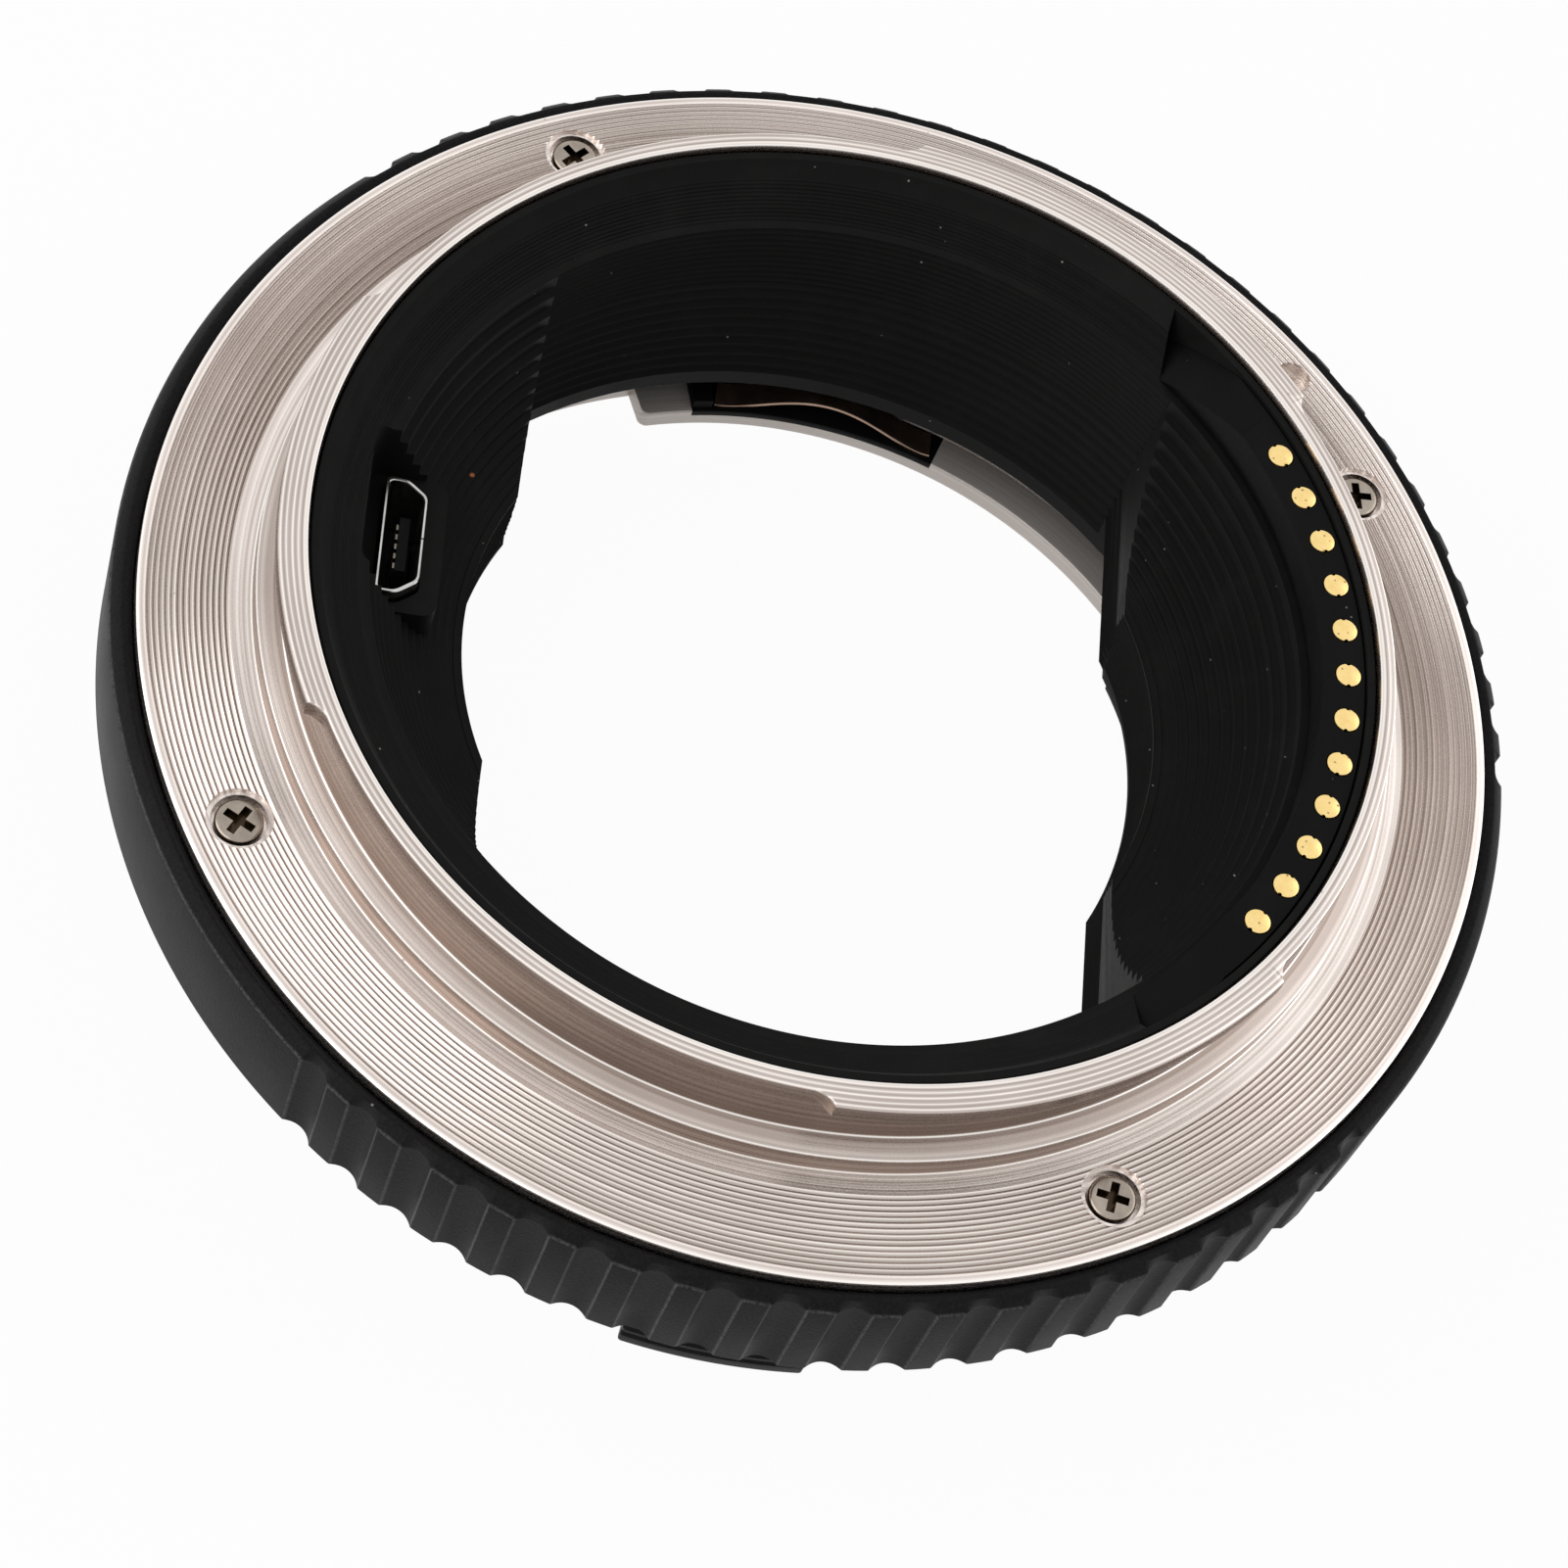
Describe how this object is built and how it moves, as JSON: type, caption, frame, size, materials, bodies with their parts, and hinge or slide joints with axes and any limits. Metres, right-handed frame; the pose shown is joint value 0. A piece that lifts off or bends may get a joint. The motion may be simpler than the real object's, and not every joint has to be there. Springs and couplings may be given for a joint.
{
  "type": "lens mount adapter",
  "caption": "Ring-shaped lens mount adapter with a bayonet on both sides, signal contacts, a ridged light baffle and a spring-loaded lens release.",
  "frame": {"origin": "centre of the lens-side flange face, on the optical axis", "axes": "+Z along the optical axis towards the camera, +Y towards the top of the camera, -X towards the release slide"},
  "size_m": [0.0815, 0.0814, 0.025],
  "materials": {
    "barrel_black": "black anodised, finely blasted",
    "bayonet_metal": "satin plated, turned",
    "screw_nickel": "nickel plated",
    "baffle_plastic": "matt black",
    "liner_plastic": "matt black",
    "contact_block_plastic": "satin black",
    "gilt": "gilt",
    "socket_steel": "bright tinned",
    "socket_plastic": "black",
    "strip_gilt": "gilt",
    "board_green": "solder mask",
    "chip_black": "black",
    "lens_ring_metal": "satin plated, turned",
    "ring_screw_nickel": "nickel plated",
    "mark_red": "gloss red",
    "spring_bronze": "spring bronze",
    "seat_plastic": "satin black",
    "lens_block_plastic": "satin black",
    "pin_gilt": "gilt",
    "release_black": "satin black",
    "bracket_steel": "plain steel",
    "lock_pin_steel": "ground steel",
    "coil_steel": "spring steel"
  },
  "bodies": {
    "housing": {"barrel": "barrel_black", "camera_bayonet": "bayonet_metal", "bayonet_screw_1": "screw_nickel", "bayonet_screw_2": "screw_nickel", "bayonet_screw_3": "screw_nickel", "bayonet_screw_4": "screw_nickel", "rear_baffle": "baffle_plastic", "front_liner": "liner_plastic", "contact_block": "contact_block_plastic", "camera_contact_1": "gilt", "camera_contact_2": "gilt", "camera_contact_3": "gilt", "camera_contact_4": "gilt", "camera_contact_5": "gilt", "camera_contact_6": "gilt", "camera_contact_7": "gilt", "camera_contact_8": "gilt", "camera_contact_9": "gilt", "camera_contact_10": "gilt", "camera_contact_11": "gilt", "camera_contact_12": "gilt", "usb_shell": "socket_steel", "usb_insert": "socket_plastic", "usb_contact_1": "strip_gilt", "usb_contact_2": "strip_gilt", "usb_contact_3": "strip_gilt", "usb_contact_4": "strip_gilt", "usb_contact_5": "strip_gilt", "circuit_board": "board_green", "controller_chip": "chip_black", "lens_mount_ring": "lens_ring_metal", "lens_ring_screw_1": "ring_screw_nickel", "lens_ring_screw_2": "ring_screw_nickel", "lens_ring_screw_3": "ring_screw_nickel", "lens_ring_screw_4": "ring_screw_nickel", "index_mark": "mark_red", "leaf_spring_1": "spring_bronze", "leaf_spring_2": "spring_bronze", "leaf_spring_3": "spring_bronze", "spring_seat_1": "seat_plastic", "spring_seat_2": "seat_plastic", "spring_seat_3": "seat_plastic", "lens_contact_block": "lens_block_plastic"},
    "release": {"release_slide": "release_black", "slide_bracket": "bracket_steel", "lock_pin": "lock_pin_steel", "lock_pin_spring": "coil_steel"},
    "lens_pin_1": {"lens_contact_pin_1": "pin_gilt"},
    "lens_pin_2": {"lens_contact_pin_2": "pin_gilt"},
    "lens_pin_3": {"lens_contact_pin_3": "pin_gilt"},
    "lens_pin_4": {"lens_contact_pin_4": "pin_gilt"},
    "lens_pin_5": {"lens_contact_pin_5": "pin_gilt"},
    "lens_pin_6": {"lens_contact_pin_6": "pin_gilt"},
    "lens_pin_7": {"lens_contact_pin_7": "pin_gilt"},
    "lens_pin_8": {"lens_contact_pin_8": "pin_gilt"}
  },
  "joints": [
    {"name": "release_slide_lift", "type": "slide", "parent": "housing", "child": "release", "axis": [0, 0, 1], "range_m": [0, 0.002], "stiffness_N_per_m": 300, "deforming": ["lock_pin_spring"]},
    {"name": "lens_pin_1_press", "type": "slide", "parent": "housing", "child": "lens_pin_1", "axis": [0, 0, 1], "range_m": [0, 0.001], "stiffness_N_per_m": 150},
    {"name": "lens_pin_2_press", "type": "slide", "parent": "housing", "child": "lens_pin_2", "axis": [0, 0, 1], "range_m": [0, 0.001], "stiffness_N_per_m": 150},
    {"name": "lens_pin_3_press", "type": "slide", "parent": "housing", "child": "lens_pin_3", "axis": [0, 0, 1], "range_m": [0, 0.001], "stiffness_N_per_m": 150},
    {"name": "lens_pin_4_press", "type": "slide", "parent": "housing", "child": "lens_pin_4", "axis": [0, 0, 1], "range_m": [0, 0.001], "stiffness_N_per_m": 150},
    {"name": "lens_pin_5_press", "type": "slide", "parent": "housing", "child": "lens_pin_5", "axis": [0, 0, 1], "range_m": [0, 0.001], "stiffness_N_per_m": 150},
    {"name": "lens_pin_6_press", "type": "slide", "parent": "housing", "child": "lens_pin_6", "axis": [0, 0, 1], "range_m": [0, 0.001], "stiffness_N_per_m": 150},
    {"name": "lens_pin_7_press", "type": "slide", "parent": "housing", "child": "lens_pin_7", "axis": [0, 0, 1], "range_m": [0, 0.001], "stiffness_N_per_m": 150},
    {"name": "lens_pin_8_press", "type": "slide", "parent": "housing", "child": "lens_pin_8", "axis": [0, 0, 1], "range_m": [0, 0.001], "stiffness_N_per_m": 150}
  ]
}
